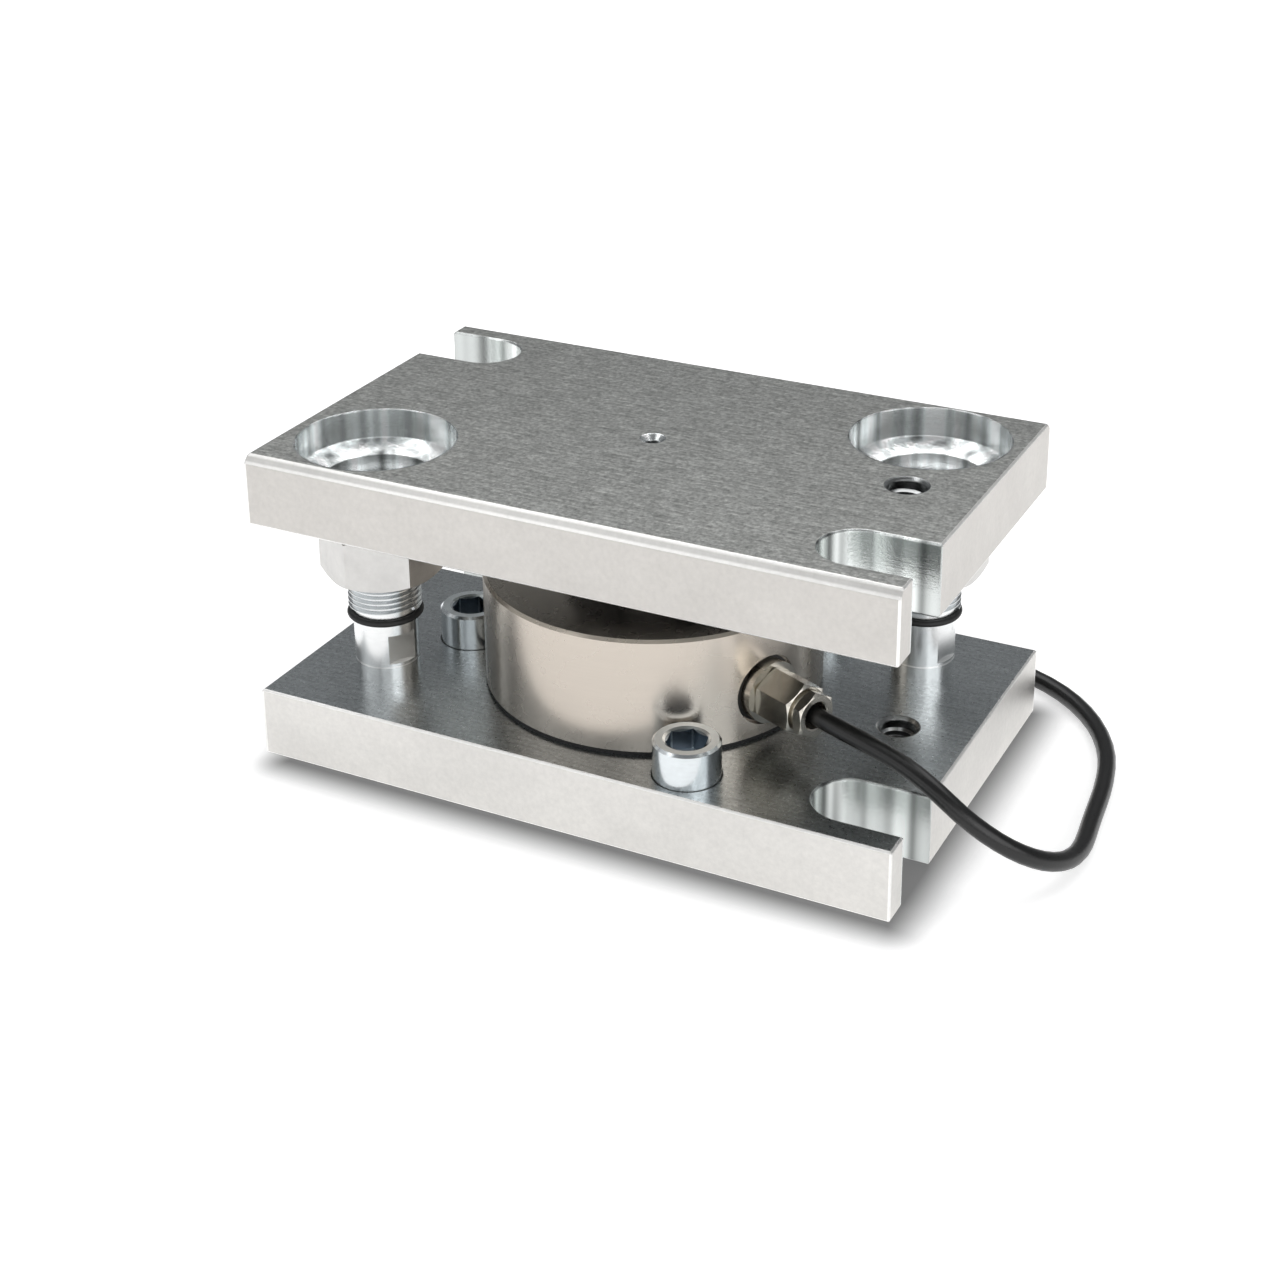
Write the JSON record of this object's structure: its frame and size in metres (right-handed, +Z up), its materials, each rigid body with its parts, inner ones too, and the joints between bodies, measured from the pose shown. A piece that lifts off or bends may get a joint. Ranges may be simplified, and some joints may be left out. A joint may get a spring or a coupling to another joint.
{
  "type": "weighing load cell",
  "caption": "Compression load cell clamped between two slotted steel plates, with hold-down rods, jack nuts and a cable through a side gland",
  "frame": {"origin": "middle of the bottom plate's underside, on the surface that the module stands on", "axes": "X along the plates, with the gland and the front slot toward +X; Y across, with the gland's side at -Y; Z up, the direction of the load"},
  "size_m": [0.2213, 0.2155, 0.09],
  "materials": {
    "zinc_plated_steel": "satin, zinc plated",
    "stainless_steel": "polished",
    "black_rubber": "matte",
    "nickel_plated_brass": "nickel plated",
    "cable_sheath": "satin",
    "core_insulation": "satin",
    "tinned_copper": "tinned",
    "board_laminate": "satin",
    "gauge_foil": "satin"
  },
  "bodies": {
    "root": {"bottom_plate": "zinc_plated_steel", "top_plate": "zinc_plated_steel", "hold_down_rod_front_left": "zinc_plated_steel", "hold_down_rod_back_right": "zinc_plated_steel", "jack_nuts": "zinc_plated_steel", "nut_washers": "zinc_plated_steel", "locating_screws": "zinc_plated_steel", "cell_body": "stainless_steel", "cell_bottom_cover": "stainless_steel", "load_button": "stainless_steel", "pressure_plate": "stainless_steel", "cell_seal_ring": "black_rubber", "rod_ring_front_left": "black_rubber", "rod_ring_back_right": "black_rubber", "gland_o_ring": "black_rubber", "gland_seal": "black_rubber", "gland_body": "nickel_plated_brass", "gland_nut": "nickel_plated_brass", "cable": "cable_sheath", "cable_inner_end": "cable_sheath", "cable_coil": "cable_sheath", "coil_ties": "cable_sheath", "cable_cores": "core_insulation", "gauge_wiring": "core_insulation", "core_leads": "tinned_copper", "terminal_board": "board_laminate", "strain_gauge_1": "gauge_foil", "strain_gauge_2": "gauge_foil", "strain_gauge_3": "gauge_foil", "strain_gauge_4": "gauge_foil"}
  },
  "joints": []
}
